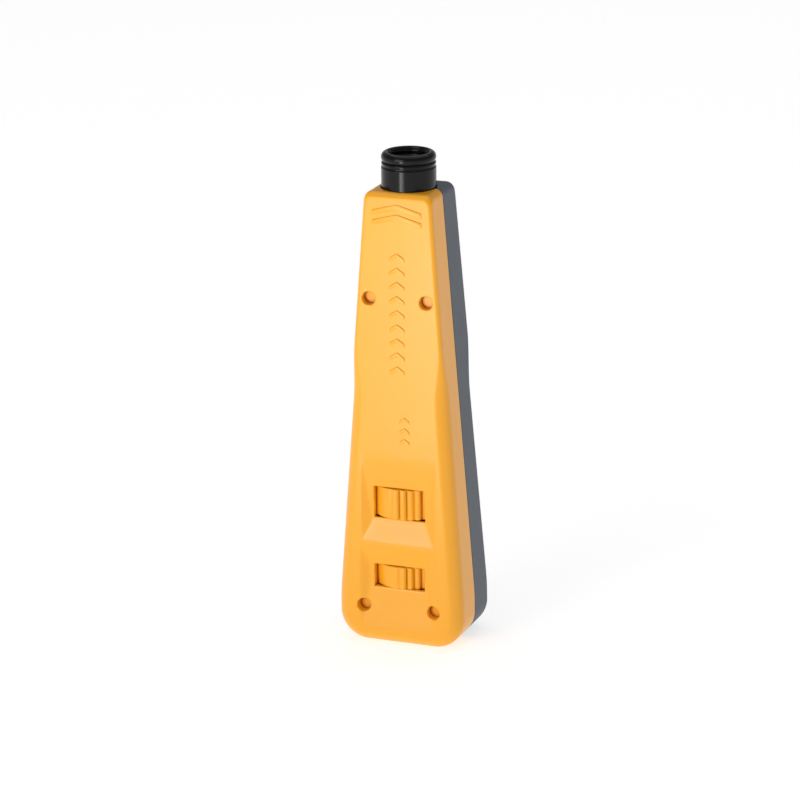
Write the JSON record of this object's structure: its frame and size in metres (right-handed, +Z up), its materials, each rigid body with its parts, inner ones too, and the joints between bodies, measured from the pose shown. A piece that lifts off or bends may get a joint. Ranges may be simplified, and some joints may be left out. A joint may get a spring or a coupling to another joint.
{
  "type": "punch down tool",
  "caption": "Tapered hand tool for seating and cutting wires in terminal blocks, with a spring-loaded round blade socket at the nose and two thumb dials low on the front.",
  "frame": {"origin": "on the ground under the tool's long axis, with the tool standing on its butt", "axes": "+Z up the tool to the nose, -Y out of the yellow face with the two dial windows, +X to the right as that face is looked at; the shells part at y = 0"},
  "size_m": [0.0388, 0.0276, 0.1475],
  "materials": {
    "yellow_shell": "semi-gloss moulded plastic, orange yellow",
    "slate_shell": "matt fine-textured plastic, slate grey",
    "nose_black": "glossy black plastic",
    "dial_yellow": "semi-gloss moulded plastic, orange yellow",
    "natural_plastic": "uncoloured engineering plastic",
    "bumper_rubber": "black rubber",
    "machined_steel": "turned and ground steel",
    "spring_wire": "spring steel wire and strip",
    "screw_steel": "zinc plated screws"
  },
  "bodies": {
    "housing": {"front_shell": "yellow_shell", "rear_shell": "slate_shell", "guide_plate": "machined_steel", "hammer_bumper": "bumper_rubber", "trip_ramp": "machined_steel", "selector_detent_spring": "spring_wire", "lock_detent_spring": "spring_wire", "spare_blade_tube": "natural_plastic", "storage_mouth": "nose_black", "main_spring": "spring_wire", "plunger_return_spring": "spring_wire", "screw_upper_left": "screw_steel", "screw_upper_right": "screw_steel", "screw_lower_left": "screw_steel", "screw_lower_right": "screw_steel"},
    "plunger": {"blade_socket": "nose_black", "socket_liner": "machined_steel", "socket_retaining_ring": "machined_steel", "plunger_stem": "machined_steel", "blade_preload_spring": "spring_wire"},
    "blade_seat_body": {"blade_seat": "nose_black"},
    "striker": {"hammer": "machined_steel", "latch_spring": "spring_wire"},
    "latch": {"latch_plate": "machined_steel"},
    "spring_rest": {"spring_seat": "machined_steel"},
    "selector": {"force_selector": "dial_yellow"},
    "lock": {"lock_dial": "dial_yellow"}
  },
  "joints": [
    {"name": "plunger_slide", "type": "slide", "parent": "housing", "child": "plunger", "axis": [0, 0, 1], "range_m": [-0.008, 0], "stiffness_N_per_m": 5000, "springref_m": 0.004, "deforming": ["plunger_return_spring"]},
    {"name": "hammer_slide", "type": "slide", "parent": "housing", "child": "striker", "axis": [0, 0, 1], "range_m": [-0.008, 0], "deforming": ["main_spring"]},
    {"name": "latch_shift", "type": "slide", "parent": "striker", "child": "latch", "axis": [1, 0, 0], "range_m": [-0.0016, 0], "deforming": ["latch_spring"]},
    {"name": "blade_seat_slide", "type": "slide", "parent": "plunger", "child": "blade_seat_body", "axis": [0, 0, 1], "range_m": [-0.002, 0], "stiffness_N_per_m": 400, "springref_m": 0.003, "deforming": ["blade_preload_spring"]},
    {"name": "selector_turn", "type": "hinge", "parent": "housing", "child": "selector", "pos_m": [0, 0, 0.0437], "axis": [0, 0, 1], "range_deg": [-40, 0]},
    {"name": "seat_slide", "type": "slide", "parent": "housing", "child": "spring_rest", "axis": [0, 0, 1], "range_m": [-0.0025, 0]},
    {"name": "lock_turn", "type": "hinge", "parent": "housing", "child": "lock", "pos_m": [0, 0, 0.021], "axis": [0, 0, 1], "range_deg": [-40, 0]}
  ],
  "couplings": [
    {"joint": "hammer_slide", "follows": "plunger_slide", "ratio": 1},
    {"joint": "latch_shift", "follows": "plunger_slide", "ratio": 0.2},
    {"joint": "selector_turn", "follows": "seat_slide", "rad_per_m": 279.25}
  ]
}
